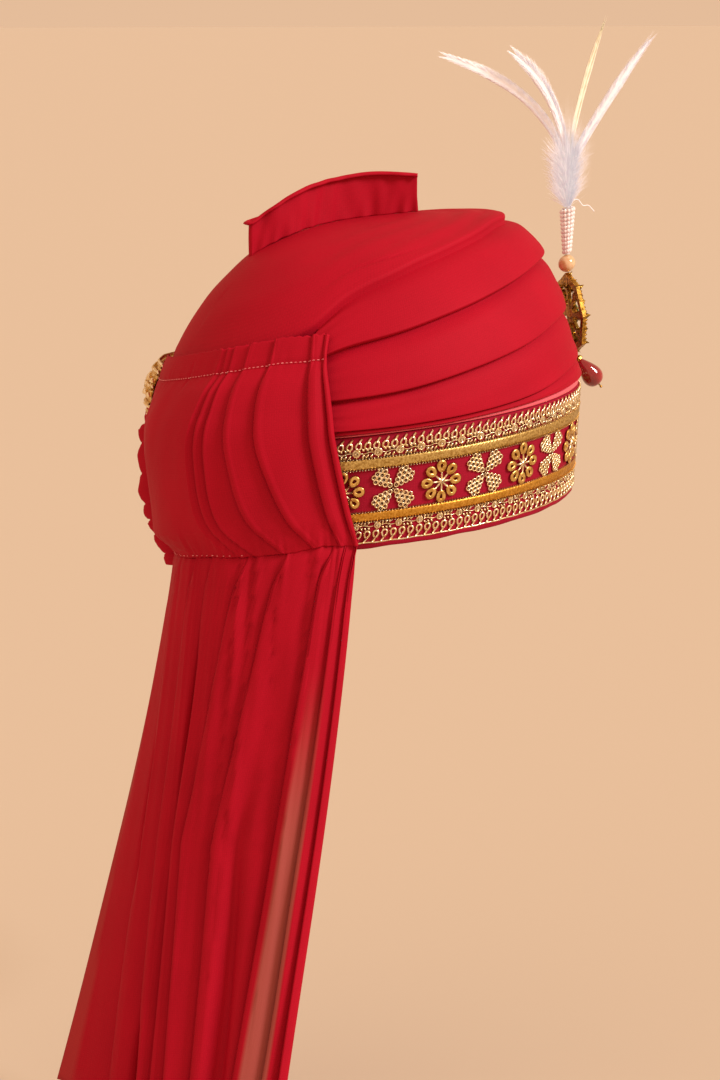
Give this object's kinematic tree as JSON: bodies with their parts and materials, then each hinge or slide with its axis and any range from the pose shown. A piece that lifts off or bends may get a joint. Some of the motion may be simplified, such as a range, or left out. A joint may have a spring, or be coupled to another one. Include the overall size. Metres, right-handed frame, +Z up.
{
  "type": "tied turban with brooch and plume",
  "caption": "Ready-tied red turban with an embroidered gold rim band, a pleated back panel with a long pleated tail, an upright fold on top, and a gold brooch with a feather plume in front.",
  "frame": {"origin": "centre of the head opening in the plane of the rim", "axes": "+Z up, the brooch and the face side towards -Y, the wearer's right towards -X, the tail behind at +Y"},
  "size_m": [0.1996, 0.3291, 0.5535],
  "materials": {
    "red_georgette": "matt crepe georgette",
    "band_silk": "matt silk",
    "pink_tape": "soft silk sheen",
    "gold_thread": "metallic thread and sequins",
    "antique_gold": "antiqued cast metal",
    "golden_pearl": "pearl lustre",
    "seed_pearl": "pearl lustre",
    "white_feather": "soft feather barbs",
    "ruby_glass": "polished glass"
  },
  "bodies": {
    "root": {"crown": "red_georgette", "wrap_1": "red_georgette", "wrap_2": "red_georgette", "wrap_3": "red_georgette", "wrap_4": "red_georgette", "back_panel": "red_georgette", "ruched_edge": "red_georgette", "tail": "red_georgette", "top_tuft": "red_georgette", "band": "band_silk", "band_top_tape": "pink_tape", "gold_braid_upper": "gold_thread", "gold_braid_lower": "gold_thread", "gold_keeper": "gold_thread", "flower_01": "gold_thread", "flower_02": "gold_thread", "flower_03": "gold_thread", "flower_04": "gold_thread", "flower_05": "gold_thread", "flower_06": "gold_thread", "flower_07": "gold_thread", "flower_08": "gold_thread", "flower_09": "gold_thread", "flower_10": "gold_thread", "flower_11": "gold_thread", "flower_12": "gold_thread", "flower_13": "gold_thread", "cross_01": "gold_thread", "cross_02": "gold_thread", "cross_03": "gold_thread", "cross_04": "gold_thread", "cross_05": "gold_thread", "cross_06": "gold_thread", "cross_07": "gold_thread", "cross_08": "gold_thread", "cross_09": "gold_thread", "cross_10": "gold_thread", "cross_11": "gold_thread", "cross_12": "gold_thread", "cross_13": "gold_thread", "brooch": "antique_gold", "drop_cap": "antique_gold", "pearl": "golden_pearl", "beaded_stem": "seed_pearl", "plume": "white_feather", "ruby_drop": "ruby_glass"}
  },
  "joints": []
}
